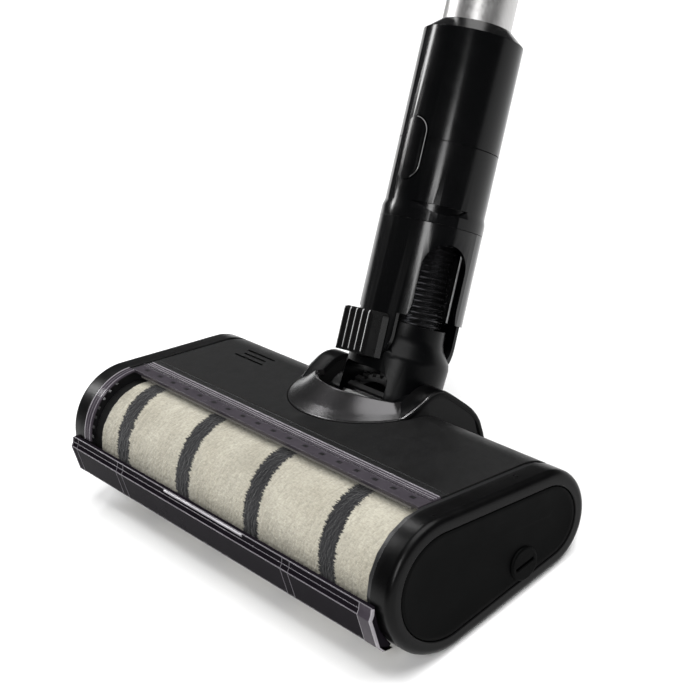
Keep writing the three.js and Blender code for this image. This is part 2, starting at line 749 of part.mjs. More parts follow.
function neckYoke() {
  const trunk = turned([
    [0, -9], [20, -9], [yokeRadius - 1, -3], [yokeRadius, 2], [yokeRadius, 31], [24.4, 33.6],
    [22.4, 36.4], [20.2, 39.5], [18.9, 43], [18.3, 49], [0, 49],
  ], 40);
  const legs = rod('x', 19.5, -yokeRadius, yokeRadius, 0, 0, 40);
  const lugs = box(-7, 7, -lugFace, lugFace, 28, 46.5);
  const bore = rod('z', throatRadius, 18, 60, 0, 0, 40);
  const bossRoom = [
    rod('y', bossRadius + 0.5, lugFace, 40, 0, knuckle, 36),
    rod('y', bossRadius + 0.5, -40, -lugFace, 0, knuckle, 36),
  ];
  const pinHole = rod('y', 3 + gap, -30, 30, 0, knuckle, 24);
  const pivotHole = rod('x', pitchPin + gap, -30, 30, 0, 0, 28);
  return cut(join(trunk, legs, lugs), slotTool(), bore, ...bossRoom, pinHole, pivotHole);
}

function hoseCuff() {
  const profile = [[13.2, 25.5]];
  for (let z = 26; z < 44; z += 3) {
    profile.push([14.8, z], [16.6, z + 1.5]);
  }
  profile.push([14.8, 46], [13.2, 46]);
  return turned(profile, 18);
}

place(neckLower, 'neck_yoke', neckYoke(), glossBlack);
place(neckLower, 'hose_cuff', hoseCuff(), hoseBlack);
place(neckLower, 'knuckle_pin_front', rod('y', 3, -25.8, -18, 0, knuckle, 24), steel);
place(neckLower, 'knuckle_pin_rear', rod('y', 3, 18, 25.8, 0, knuckle, 24), steel);

// ---------------------------------------------------------------- neck shell, hose and foot pedal

// A side arch, open below, cut through the wall of the shell towards one side.
function archTool(side) {
  const shape = new THREE.Shape();
  const springing = archTop - archHalf;
  shape.moveTo(-archHalf - 1.5, 30);
  shape.lineTo(archHalf + 1.5, 30);
  shape.lineTo(archHalf + 1.5, shellBottom);
  shape.quadraticCurveTo(archHalf, shellBottom + 3, archHalf, shellBottom + 9);
  shape.absarc(0, springing, archHalf, 0, Math.PI, false);
  shape.lineTo(-archHalf, shellBottom + 9);
  shape.quadraticCurveTo(-archHalf, shellBottom + 3, -archHalf - 1.5, shellBottom);
  const settings = { depth: 30, bevelEnabled: false, curveSegments: 16 };
  const tool = new THREE.ExtrudeGeometry(shape, settings).rotateX(Math.PI / 2).translate(0, -8, 0);
  return tool.rotateZ(side * (Math.PI / 2 - archAngle));
}

function neckShell() {
  const inner = shellRadius - shellWall;
  const barrel = turned([
    [inner, shellBottom], [shellRadius, shellBottom], [shellRadius, shellTop], [inner, shellTop],
  ], 44);
  const disc = rod('y', bossRadius, -40, 40, 0, knuckle, 40);
  const tongue = box(-bossRadius, bossRadius, -40, 40, knuckle, shellBottom + 2);
  const column = rod('z', shellRadius, 20, shellBottom + 4, 0, 0, 44);
  const flats = box(-30, 30, -lugFace - gap, lugFace + gap, 0, 80);
  const bosses = cut(meet(column, join(disc, tongue)), flats);
  const pinHole = rod('y', 3 + gap, -30, 30, 0, knuckle, 24);
  const springLug = box(-3.5, 3.5, -29, -24.5, 33.5, 36).translate(pedalShift, 0, 0);
  return join(cut(join(barrel, bosses), archTool(1), archTool(-1), pinHole), springLug);
}

function corrugatedHose() {
  const bottom = 49.6;
  const top = shellTop - 0.4;
  const ribs = 17;
  const pitch = (top - bottom) / ribs;
  const profile = [[13.2, bottom]];
  for (let i = 0; i < ribs; i += 1) {
    const z = bottom + i * pitch;
    profile.push([14.2, z], [16, z + pitch / 2]);
  }
  profile.push([14.2, top], [13.2, top]);
  return turned(profile, 18);
}

function footPedal() {
  const half = 14;
  const front = -30.6;
  const back = -shellRadius - 0.6;
  const bottom = 28.8;
  const top = shellBottom - 1.4;
  const shape = new THREE.Shape();
  shape.moveTo(-half, bottom);
  shape.lineTo(half, bottom);
  shape.lineTo(half, top - 3);
  shape.quadraticCurveTo(half, top, half - 3, top);
  shape.lineTo(-half + 3, top);
  shape.quadraticCurveTo(-half, top, -half, top - 3);
  const settings = { depth: back - front, bevelEnabled: false, curveSegments: 5 };
  const block = new THREE.ExtrudeGeometry(shape, settings).rotateX(Math.PI / 2).translate(0, back, 0);
  const ribs = [];
  for (let i = 0; i < 5; i += 1) {
    const x = -half + 1.6 + i * 4.4;
    ribs.push(box(x - 0.6, x + 0.6, front - 0.9, front + 1, bottom + 0.4, top - 1.6));
  }
  const springRoom = box(-4, 4, -29.4, back + over, 33.2, 48.2);
  return cut(join(block, ...ribs), springRoom).translate(pedalShift, 0, 0);
}

place(neckUpper, 'neck_shell', neckShell(), glossBlack);
place(neckUpper, 'corrugated_hose', corrugatedHose(), hoseBlack);
place(neckUpper, 'foot_pedal', footPedal(), ribBlack);
place(neckUpper, 'pedal_spring', turned([
  [0.7, 36.4], [1.3, 36.4], [1.3, 47.8], [0.7, 47.8],
], 14).translate(pedalShift, -28, 0), steel);

// ---------------------------------------------------------------- socket, release button, wand

// Stadium prism that stands out of the front of the neck between two depths.
function buttonPrism(grow, near, far) {
  const radius = buttonWidth / 2 + grow;
  const shape = new THREE.Shape();
  shape.absarc(0, buttonTop - buttonWidth / 2, radius, 0, Math.PI, false);
  shape.absarc(0, buttonBottom + buttonWidth / 2, radius, Math.PI, 2 * Math.PI, false);
  const settings = { depth: far - near, bevelEnabled: false, curveSegments: 12 };
  return new THREE.ExtrudeGeometry(shape, settings).rotateX(Math.PI / 2).translate(0, -near, 0);
}

function wandSocket() {
  const body = turned([
    [14, shellTop + gap], [shellRadius, shellTop + gap], [shellRadius, 103], [wandRadius, 106],
    [wandRadius, socketTop], [spigotRadius + gap, socketTop], [spigotRadius + gap, 101.5], [14, 101.5],
  ], 44);
  return cut(body, buttonPrism(0.4, 15, 40));
}

function wandButton() {
  const pad = buttonPrism(0, 23.2, 30);
  return meet(pad, rod('z', wandRadius + 0.4, 100, 160, 0, 0, 64));
}

function wandCollar() {
  const body = turned([
    [15.5, spigotBottom], [spigotRadius, spigotBottom], [spigotRadius, socketTop + 0.4],
    [wandRadius, socketTop + 0.4], [wandRadius, collarTop], [tubeRadius + 0.6, collarTop + 6],
    [tubeRadius + gap, collarTop + 6], [tubeRadius + gap, 150], [15.5, 150],
  ], 44);
  const notch = meet(buttonPrism(0.4, spigotRadius + 0.4, 40), box(-20, 20, -50, 0, socketTop, 160));
  return cut(body, notch);
}

place(neckUpper, 'wand_socket', wandSocket(), glossBlack);
place(neckUpper, 'wand_button', wandButton(), glossBlack);
place(neckUpper, 'button_spring', box(-3, 3, -22.9, -22.3, 120, 142), steel);
place(neckUpper, 'wand_collar', wandCollar(), glossBlack);
place(neckUpper, 'wand_tube', turned([
  [tubeRadius - tubeWall, 150 + gap], [tubeRadius, 150 + gap],
  [tubeRadius, tubeTop], [tubeRadius - tubeWall, tubeTop],
], 40), brushedAluminium);

// ---------------------------------------------------------------- origin under the middle of the footprint

sweeper.updateMatrixWorld(true);
const extent = new THREE.Box3().setFromObject(sweeper);
sweeper.position.y = -(extent.min.y + extent.max.y) / 2;

export default sweeper;
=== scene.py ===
import json
import math

import bmesh
import bpy
import numpy as np
from mathutils import Matrix, Vector


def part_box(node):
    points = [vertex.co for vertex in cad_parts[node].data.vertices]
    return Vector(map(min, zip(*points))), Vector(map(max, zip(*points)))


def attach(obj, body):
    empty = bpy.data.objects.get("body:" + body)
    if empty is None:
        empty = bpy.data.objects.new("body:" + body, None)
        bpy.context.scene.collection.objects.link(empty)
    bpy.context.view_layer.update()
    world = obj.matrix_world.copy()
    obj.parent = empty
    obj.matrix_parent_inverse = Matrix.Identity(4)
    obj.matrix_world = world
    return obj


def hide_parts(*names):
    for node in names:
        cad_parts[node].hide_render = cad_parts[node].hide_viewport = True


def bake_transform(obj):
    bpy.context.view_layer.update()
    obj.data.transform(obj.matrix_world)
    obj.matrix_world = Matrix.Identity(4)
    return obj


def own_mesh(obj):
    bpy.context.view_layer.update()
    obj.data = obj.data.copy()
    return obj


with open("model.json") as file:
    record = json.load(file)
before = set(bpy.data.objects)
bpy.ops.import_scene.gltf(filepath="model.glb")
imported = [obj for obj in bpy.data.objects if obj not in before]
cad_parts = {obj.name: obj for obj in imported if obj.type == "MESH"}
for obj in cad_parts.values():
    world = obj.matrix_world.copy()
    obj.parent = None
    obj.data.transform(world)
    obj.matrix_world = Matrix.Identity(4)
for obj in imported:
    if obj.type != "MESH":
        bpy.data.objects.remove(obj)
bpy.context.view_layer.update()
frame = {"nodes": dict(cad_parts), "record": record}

MM = 0.001
RECORD = frame["record"]
JOINTS = {j["name"]: j for j in RECORD["behaviour"]["joints"]}
BODY_OF = {n: b for b, names in RECORD["behaviour"]["bodies"].items() for n in names}
RNG = np.random.default_rng(11)
X_AXIS = Vector((1, 0, 0))

# ------------------------------------------------------------------ frames of the head and of the neck

ROLLER_AT = Vector(JOINTS["roller_spin"]["pos_m"])
PIVOT = Vector(JOINTS["neck_pitch"]["pos_m"])
KNUCKLE = Vector(JOINTS["neck_swing"]["pos_m"])
SWING = Vector(JOINTS["neck_swing"]["axis"]).normalized()
WAND = Vector(JOINTS["wand_pull"]["axis"]).normalized()
KNUCKLE_S = (KNUCKLE - PIVOT).length / MM


def basis(origin, x, y, z):
    """The matrix of a local frame with these axes."""
    m = Matrix.Identity(4)
    for i, v in enumerate((x, y, z, origin)):
        for k in range(3):
            m[k][i] = v[k]
    return m


# Millimetres in a local frame go through these to metres in the row frame.
HEAD = basis(Vector((0, ROLLER_AT.y, 0)), X_AXIS, Vector((0, 1, 0)), Vector((0, 0, 1)))
UP = basis(KNUCKLE - WAND * KNUCKLE_S * MM, SWING.cross(WAND), SWING, WAND)

# ------------------------------------------------------------------ dimensions, in millimetres

GROUND_GAP = 1.2        # under the head's caps
HEAD_HALF = 125.0       # half the width over the end caps
CAP_INNER = 113.0       # inner face of an end cap
FRONT_R = 31.1          # the big lobe of the side outline, round the roller
REAR_R = 23.7           # the small lobe behind it
LOBES = 60.7            # between the two lobes' centres
FRONT_Z = FRONT_R + GROUND_GAP
REAR_Z = REAR_R + GROUND_GAP
SLOPE = 2 * math.atan((FRONT_R - REAR_R) / LOBES)
ROLLER_R = 29.0
SEAM_Y = 19.0           # front edge of the top cover
BODY_HALF = 110.0       # half the width of the top cover
CRADLE_Y = 74.0         # centre of the cradle's round front
CRADLE_R = 41.0
CRADLE_REAR = 104.0
TUBE_R = 25.2           # socket and collar of the wand


def cover_z(y):
    """Height of the top cover's sloping face."""
    reach = FRONT_Z * math.cos(SLOPE) + FRONT_R
    return (reach - y * math.sin(SLOPE)) / math.cos(SLOPE)


# ------------------------------------------------------------------ camera and lights

CAMERA_AT = (0.50779, -0.38368, 0.40648)
CAMERA_RIGHT = Vector((0.63985, 0.73819, -0.21371))
CAMERA_UP = Vector((-0.24731, 0.46108, 0.85220))
CAMERA_LENS = 74.66
SENSOR = 36
LAMP_AIM = (0, 0.05, 0.10)


def make_camera():
    """A long lens from the front right, looking down on the head."""
    data = bpy.data.cameras.new("camera")
    data.lens = CAMERA_LENS
    data.sensor_width = SENSOR
    data.dof.use_dof = False
    data.clip_start = 0.01
    cam = bpy.data.objects.new("camera", data)
    bpy.context.scene.collection.objects.link(cam)
    cam.matrix_world = basis(Vector(CAMERA_AT), CAMERA_RIGHT, CAMERA_UP, CAMERA_RIGHT.cross(CAMERA_UP))
    bpy.context.scene.camera = cam


def area_light(name, place, target, size, size_y, power):
    """A rectangular lamp that lights and reflects but isn't in the picture."""
    data = bpy.data.lights.new(name, "AREA")
    data.shape = "RECTANGLE"
    data.size = size
    data.size_y = size_y
    data.energy = power
    lamp = bpy.data.objects.new(name, data)
    bpy.context.scene.collection.objects.link(lamp)
    place = Vector(place)
    lamp.location = place
    lamp.rotation_euler = (Vector(target) - place).to_track_quat("-Z", "Y").to_euler()
    lamp.visible_camera = False


def sun_light(name, towards, angle, strength):
    """A sun so wide that it lights the floor evenly, with soft shadows."""
    data = bpy.data.lights.new(name, "SUN")
    data.energy = strength
    data.angle = math.radians(angle)
    lamp = bpy.data.objects.new(name, data)
    bpy.context.scene.collection.objects.link(lamp)
    lamp.rotation_euler = (-Vector(towards)).to_track_quat("-Z", "Y").to_euler()


def make_world(seen, cast):
    """A white backdrop for the camera, over a dim room for light and reflections."""
    world = bpy.data.worlds.new("studio")
    bpy.context.scene.world = world
    world.use_nodes = True
    tree = world.node_tree
    back = tree.nodes["Background"]
    path = tree.nodes.new("ShaderNodeLightPath")
    level = tree.nodes.new("ShaderNodeMapRange")
    level.inputs["To Min"].default_value = cast
    level.inputs["To Max"].default_value = seen
    tree.links.new(path.outputs["Is Camera Ray"], level.inputs["Value"])
    back.inputs["Color"].default_value = (1, 1, 1, 1)
    tree.links.new(level.outputs["Result"], back.inputs["Strength"])


make_camera()
make_world(0.99, 0.10)
bpy.context.scene.view_settings.view_transform = "Standard"
sun_light("overhead_sky", (0.22, 0.24, 0.94), 50, 3.5)
area_light("streak_back_left", (-1.60, 0.62, 1.82), (0, 0, 0.05), 0.34, 0.34, 10)
area_light("key_camera_side", (0.82, -0.82, 0.74), LAMP_AIM, 0.28, 0.62, 11)
area_light("key_front_left", (-1.00, -0.30, 0.80), LAMP_AIM, 0.16, 0.62, 8)

# ------------------------------------------------------------------ materials


class Shade:
    """A principled material with a few chained helpers for procedural detail."""

    def __init__(self, name, base, roughness, **constants):
        self.mat = bpy.data.materials.new(name)
        self.mat.use_nodes = True
        self.tree = self.mat.node_tree
        self.bsdf = self.tree.nodes["Principled BSDF"]
        self.base = base
        self.bsdf.inputs["Base Color"].default_value = (*base, 1)
        self.bsdf.inputs["Roughness"].default_value = roughness
        for key, value in constants.items():
            self.bsdf.inputs[key.replace("_", " ")].default_value = value
        self.coords = self.node("ShaderNodeTexCoord").outputs["Object"]

    def node(self, kind, **settings):
        made = self.tree.nodes.new(kind)
        for key, value in settings.items():
            setattr(made, key, value)
        return made

    def link(self, a, b):
        self.tree.links.new(a, b)

    def stretched(self, scale):
        mapping = self.node("ShaderNodeMapping")
        mapping.inputs["Scale"].default_value = scale
        self.link(self.coords, mapping.inputs["Vector"])
        return mapping.outputs["Vector"]

    def noise(self, scale, detail=3.0, rough=0.55, stretch=None):
        tex = self.node("ShaderNodeTexNoise")
        tex.inputs["Scale"].default_value = scale
        tex.inputs["Detail"].default_value = detail
        tex.inputs["Roughness"].default_value = rough
        self.link(self.stretched(stretch) if stretch else self.coords, tex.inputs["Vector"])
        return tex.outputs["Fac"]

    def remap(self, value, low, high, start=0.3, end=0.7):
        node = self.node("ShaderNodeMapRange")
        node.inputs["From Min"].default_value = start
        node.inputs["From Max"].default_value = end
        node.inputs["To Min"].default_value = low
        node.inputs["To Max"].default_value = high
        self.link(value, node.inputs["Value"])
        return node.outputs["Result"]

    def mix(self, fac, a, b):
        node = self.node("ShaderNodeMix", data_type="RGBA")
        self.link(fac, node.inputs["Factor"])
        for socket, value in ((node.inputs[6], a), (node.inputs[7], b)):
            if isinstance(value, (tuple, list)):
                socket.default_value = (*value, 1)
            else:
                self.link(value, socket)
        return node.outputs[2]

    def mottle(self, amount, scale=60, detail=4.0, stretch=None):
        darker = tuple(c * (1 - amount) for c in self.base)
        lighter = tuple(min(1, c * (1 + amount)) for c in self.base)
        colour = self.mix(self.remap(self.noise(scale, detail, 0.6, stretch), 0, 1), darker, lighter)
        self.link(colour, self.bsdf.inputs["Base Color"])
        self.colour = colour
        return self

    # Lighter on sharp edges: partly wear, partly a painted highlight.
    def worn_and_highlit_edges(self, colour, amount=0.6):
        pointy = self.node("ShaderNodeNewGeometry").outputs["Pointiness"]
        edge = self.remap(pointy, 0, amount, 0.52, 0.60)
        mixed = self.mix(edge, self.colour, colour)
        self.link(mixed, self.bsdf.inputs["Base Color"])
        self.colour = mixed
        return self

    def rough_patches(self, low, high, scale=90, stretch=None):
        level = self.remap(self.noise(scale, 5.0, 0.65, stretch), low, high)
        self.link(level, self.bsdf.inputs["Roughness"])
        return self

    def bump(self, height, distance, strength=1.0):
        node = self.node("ShaderNodeBump")
        node.inputs["Distance"].default_value = distance
        node.inputs["Strength"].default_value = strength
        self.link(height, node.inputs["Height"])
        previous = getattr(self, "normal", None)
        if previous is not None:
            self.link(previous, node.inputs["Normal"])
        self.normal = node.outputs["Normal"]
        self.link(self.normal, self.bsdf.inputs["Normal"])
        return self

    def grain(self, scale, distance, strength=0.6, stretch=None):
        return self.bump(self.noise(scale, 2.0, 0.5, stretch), distance, strength)


def moulded(name, base, low, high, grain=2600, depth=0.00006, edge=0.05, **constants):
    """Moulded plastic: mottled colour, edges lighter where sharp (partly wear, partly a painted highlight),
    patchy roughness and a fine grain.
    """
    shade = Shade(name, base, (low + high) / 2, **constants)
    shade.mottle(0.16, 45).worn_and_highlit_edges(tuple(c + edge for c in base))
    shade.rough_patches(low, high).grain(grain, depth, 0.5)
    return shade.mat


def brushed(name, base, low, high, stretch, **constants):
    """Metal with fine marks, drawn out along the axis where stretch is small."""
    shade = Shade(name, base, (low + high) / 2, Metallic=1.0, **constants)
    shade.mottle(0.05, 900, 3.0, stretch)
    shade.rough_patches(low, high, 700, stretch).grain(900, 0.00003, 0.5, stretch)
    return shade.mat


COVER = moulded("cover_grained", (0.0036, 0.0036, 0.0037), 0.42, 0.54, 3200, 0.00009, 0.012,
                Specular_IOR_Level=0.22)
CAP = moulded("cap_satin", (0.0012, 0.0012, 0.0013), 0.26, 0.36, 2400, 0.00003, 0.012,
              Specular_IOR_Level=0.10)
PANEL = moulded("panel_matte", (0.0006, 0.0007, 0.0007), 0.40, 0.52, 2600, 0.00004, 0.003,
                Specular_IOR_Level=0.03)
BAND = moulded("band_anthracite", (0.036, 0.035, 0.036), 0.20, 0.27, 2800, 0.00003, 0.03, Metallic=0.8)
EAR = moulded("ear_satin", (0.0010, 0.0010, 0.0011), 0.28, 0.38, 2400, 0.00003, 0.012,
              Specular_IOR_Level=0.06)
GLOSS = moulded("neck_gloss", (0.0006, 0.0007, 0.0009), 0.14, 0.20, 900, 0.00002, 0.008,
                Specular_IOR_Level=0.20)
RIBBED = moulded("ribbed_black", (0.0016, 0.0016, 0.0017), 0.26, 0.38, 1800, 0.00006, 0.05,
                 Specular_IOR_Level=0.25)
PEDAL = moulded("pedal_black", (0.0010, 0.0010, 0.0011), 0.24, 0.34, 1800, 0.00004, 0.004,
                Specular_IOR_Level=0.22)
YOKE = moulded("yoke_satin", (0.0008, 0.0009, 0.0011), 0.28, 0.38, 1200, 0.00003, 0.008,
               Specular_IOR_Level=0.08)
# Light grey for thin lines that paint highlights on the neck.
HIGHLIGHT_GREY = moulded("highlight_painted_grey", (0.17, 0.17, 0.172), 0.12, 0.2, 1200, 0.00002, 0.02,
                Specular_IOR_Level=0.6)
HOSE = moulded("hose_black", (0.13, 0.13, 0.135), 0.17, 0.22, 1600, 0.00003, 0.03, Metallic=0.95)
INNER = moulded("inner_grey", (0.10, 0.105, 0.11), 0.42, 0.56, 1800, 0.00006, 0.05)
INNER_DARK = moulded("inner_dark", (0.004, 0.0038, 0.0045), 0.3, 0.42, 1800, 0.00006, 0.04,
                     Specular_IOR_Level=0.3)
RUBBER = moulded("rubber", (0.010, 0.010, 0.010), 0.62, 0.8, 1500, 0.00012, 0.02, Specular_IOR_Level=0.3)
BOARD = moulded("board_green", (0.02, 0.09, 0.04), 0.3, 0.45, 900, 0.00005, 0.04)
# Greyish cream: painted shade of the pile as it looks under the clear strip.
LAMPS = moulded("lamp_board", (0.105, 0.099, 0.095), 0.3, 0.45, 900, 0.00005, 0.04)
STEEL = brushed("steel", (0.56, 0.57, 0.58), 0.22, 0.36, (1, 1, 1))
DARK_STEEL = brushed("steel_blackened", (0.022, 0.022, 0.024), 0.26, 0.38, (1, 1, 1))
ALUMINIUM = brushed("wand_aluminium", (0.50, 0.495, 0.49), 0.30, 0.42, (1, 1, 0.04))
# Light grey for the lines that paint highlights on the pedal's ribs.
PEDAL_HIGHLIGHT = moulded("pedal_painted_highlight", (0.42, 0.42, 0.42), 0.3, 0.4, 1200, 0.00002, 0.02)
# Black for the sheet that paints the shade under the clear strip, and for the real dark dots and spots.
VEIL = moulded("veil_black", (0.006, 0.0055, 0.0065), 0.4, 0.5, 1800, 0.00004, 0.005,
               Specular_IOR_Level=0.2)


def smoked_plastic(name, base, roughness, gloss):
    """Smoky, tinted plastic with a smooth surface."""
    shade = Shade(name, base, roughness, IOR=1.46, Specular_IOR_Level=gloss)
    shade.mottle(0.12, 120)
    shade.rough_patches(roughness * 0.7, roughness * 1.5, 160)
    shade.grain(260, 0.000004, 0.25)
    return shade.mat


# Near black for the clear bumper: its smoky tint, plus painted shade from the dark space under it seen
# through the plastic.
SMOKE_AND_SHADE = smoked_plastic("smoke_clear", (0.0062, 0.0050, 0.0070), 0.16, 0.006)
WINDOW = smoked_plastic("window_clear", (0.040, 0.035, 0.042), 0.20, 0.12)
LENS = smoked_plastic("lens_clear", (0.040, 0.034, 0.042), 0.14, 0.04)
# Lighter clear plastics for thin lines and ribs on real edges; their light colour paints the highlights on
# those edges.
EDGE_HIGHLIGHT = smoked_plastic("edge_painted_highlight", (0.105, 0.098, 0.110), 0.26, 0.10)
RIDGE_HIGHLIGHT = smoked_plastic("ridge_painted_highlight", (0.185, 0.173, 0.190), 0.22, 0.18)
GLINT = smoked_plastic("glint_clear", (0.24, 0.228, 0.245), 0.22, 0.20)


def pile_material():
    """Plush with dark stripes: "stripe" holds the way to a stripe's edge in mm, "tuft" the pile's height."""
    shade = Shade("plush_pile", (0.36, 0.34, 0.29), 0.95, Sheen_Weight=0.2, Sheen_Roughness=0.5,
                  Specular_IOR_Level=0.2)
    away = shade.node("ShaderNodeAttribute", attribute_name="stripe").outputs["Fac"]
    strands = shade.remap(shade.noise(1250, 2.0, 0.6, (0.12, 1, 1)), -1.6, 1.6, 0.25, 0.75)
    reach = shade.node("ShaderNodeMath", operation="ADD")
    shade.link(away, reach.inputs[0])
    shade.link(strands, reach.inputs[1])
    mask = shade.remap(reach.outputs["Value"], 1.0, 0.0, -0.5, 0.5)
    depth = shade.node("ShaderNodeAttribute", attribute_name="tuft").outputs["Fac"]
    cloud = shade.remap(shade.noise(38, 5.0, 0.6), 0, 1, 0.30, 0.70)
    cream = shade.mix(cloud, (0.318, 0.297, 0.238), (0.405, 0.385, 0.318))
    coal = shade.mix(cloud, (0.0040, 0.0040, 0.0050), (0.0095, 0.0092, 0.0105))
    striped = shade.mix(mask, cream, coal)
    hair = shade.remap(shade.noise(1500, 3.0, 0.6, (0.35, 1, 1)), 0.80, 1.10, 0.3, 0.7)
    shadow = shade.remap(depth, 0.80, 1.04, 0.15, 0.85)
    both = shade.node("ShaderNodeMath", operation="MULTIPLY")
    shade.link(hair, both.inputs[0])
    shade.link(shadow, both.inputs[1])
    scaled = shade.node("ShaderNodeVectorMath", operation="SCALE")
    shade.link(striped, scaled.inputs["Vector"])
    shade.link(both.outputs["Value"], scaled.inputs["Scale"])
    shade.link(scaled.outputs["Vector"], shade.bsdf.inputs["Base Color"])
    shade.grain(2600, 0.0003, 0.7)
    return shade.mat


PILE = pile_material()

# ------------------------------------------------------------------ mesh helpers


def mesh_object(name, verts, faces, material, frame_matrix=None, smooth_angle=35.0):
    """A mesh from millimetre vertices in a local frame, written in the row frame in metres."""
    mesh = bpy.data.meshes.new(name)
    co = np.asarray(verts, float) * MM
    if frame_matrix is not None:
        m = np.array(frame_matrix)
        co = co @ m[:3, :3].T + m[:3, 3]
    mesh.from_pydata(co.tolist(), [], faces)
    mesh.validate()
    obj = bpy.data.objects.new(name, mesh)
    bpy.context.scene.collection.objects.link(obj)
    tidy(obj, smooth_angle)
    mesh.materials.append(material)
    return obj


def tidy(obj, smooth_angle):
    """Joined vertices, outward faces and smooth shading up to an angle."""
    bm = bmesh.new()
    bm.from_mesh(obj.data)
    bmesh.ops.remove_doubles(bm, verts=bm.verts, dist=1e-6)
    bmesh.ops.recalc_face_normals(bm, faces=bm.faces)
    bm.to_mesh(obj.data)
    bm.free()
    shade_by_angle(obj, smooth_angle)


def shade_by_angle(obj, angle):
    mesh = obj.data
    mesh.polygons.foreach_set("use_smooth", [True] * len(mesh.polygons))
    mesh.set_sharp_from_angle(angle=math.radians(angle))


def soften(obj, width, segments=2, angle=32.0):
    """A rounded edge of this width, in millimetres, wherever two faces meet at more than the angle."""
    bevel = obj.modifiers.new("edge", "BEVEL")
    bevel.width = width * MM
    bevel.segments = segments
    bevel.limit_method = "ANGLE"
    bevel.angle_limit = math.radians(angle)
    bevel.use_clamp_overlap = True
    bevel.harden_normals = False
    normals = obj.modifiers.new("normals", "WEIGHTED_NORMAL")
    normals.keep_sharp = True
    return obj


def own(obj, body, *replaced):
    """The piece rides on the body and stands for the CAD nodes named after it."""
    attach(obj, body)
    if replaced:
        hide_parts(*replaced)
    return obj


FLAT_RUN = 0.6       # degrees between faces that count as one flat run


def skin(node, material, width=0.35, segments=2, angle=32.0, flanks=None):
    """A finished copy of a CAD node: flat runs joined, edges rounded, curved runs smooth.

    With flanks, that material goes on the faces that look sideways, down or straight back."""
    source = frame["nodes"][node]
    mesh = source.data.copy()
    mesh.materials.clear()
    obj = bpy.data.objects.new(node + "_finished", mesh)
    bpy.context.scene.collection.objects.link(obj)
    bm = bmesh.new()
    bm.from_mesh(mesh)
    bmesh.ops.remove_doubles(bm, verts=bm.verts, dist=2e-6)
    bmesh.ops.dissolve_limit(bm, angle_limit=math.radians(FLAT_RUN), verts=bm.verts, edges=bm.edges)
    bmesh.ops.recalc_face_normals(bm, faces=bm.faces)
    bm.to_mesh(mesh)
    bm.free()
    shade_by_angle(obj, angle)
    mesh.materials.append(material)
    if flanks:
        mesh.materials.append(flanks)
        for face in mesh.polygons:
            if abs(face.normal.x) > 0.8 or face.normal.z < -0.5 or face.normal.y > 0.95:
                face.material_index = 1
    if width:
        soften(obj, width, segments, angle)
    return own(obj, BODY_OF[node], node)


def revolve(profile, sides):
    """Vertices and faces of a closed profile of (radius, height) turned about Z."""
    verts, faces = [], []
    for radius, height in profile:
        for i in range(sides):
            a = 2 * math.pi * i / sides
            verts.append((radius * math.cos(a), radius * math.sin(a), height))
    for low in range(len(profile)):
        high = (low + 1) % len(profile)
        for i in range(sides):
            j = (i + 1) % sides
            faces.append((low * sides + i, low * sides + j, high * sides + j, high * sides + i))
    return verts, faces


def ring_skin(rings, close_ends=True):
    """Vertices and faces of a skin over closed rings of equal count."""
    count = len(rings[0])
    verts = [p for ring in rings for p in ring]
    faces = []
    for r in range(len(rings) - 1):
        for i in range(count):
            j = (i + 1) % count
            a, b = r * count, (r + 1) * count
            faces.append((a + i, a + j, b + j, b + i))
    if close_ends:
        faces.append(tuple(range(count)))
        faces.append(tuple((len(rings) - 1) * count + i for i in range(count)))
    return verts, faces


def boolean_cut(obj, cutters):
    """The object's mesh with the cutters taken away; the cutters are removed."""
    for cutter in cutters:
        mod = obj.modifiers.new("cut", "BOOLEAN")
        mod.operation = "DIFFERENCE"
        mod.solver = "EXACT"
        mod.object = cutter
    bpy.context.view_layer.update()
    deps = bpy.context.evaluated_depsgraph_get()
    fresh = bpy.data.meshes.new_from_object(obj.evaluated_get(deps))
    obj.modifiers.clear()
    old = obj.data
    obj.data = fresh
    bpy.data.meshes.remove(old)
    for cutter in cutters:
        bpy.data.objects.remove(cutter)


# ------------------------------------------------------------------ the two-lobed side outline


def lobe_ring(x, inset, steps=40):
    """The head's side outline at one x: the big front lobe, then the small rear one."""
    top = math.pi / 2 - SLOPE
    ring = []
    for i in range(steps + 1):
        a = top + (1.5 * math.pi - top) * i / steps
        r = FRONT_R - inset
        ring.append((x, r * math.cos(a), FRONT_Z + r * math.sin(a)))
    for i in range(steps + 1):
        a = -math.pi / 2 + (top + math.pi / 2) * i / steps
        r = REAR_R - inset
        ring.append((x, LOBES + r * math.cos(a), REAR_Z + r * math.sin(a)))
    return ring


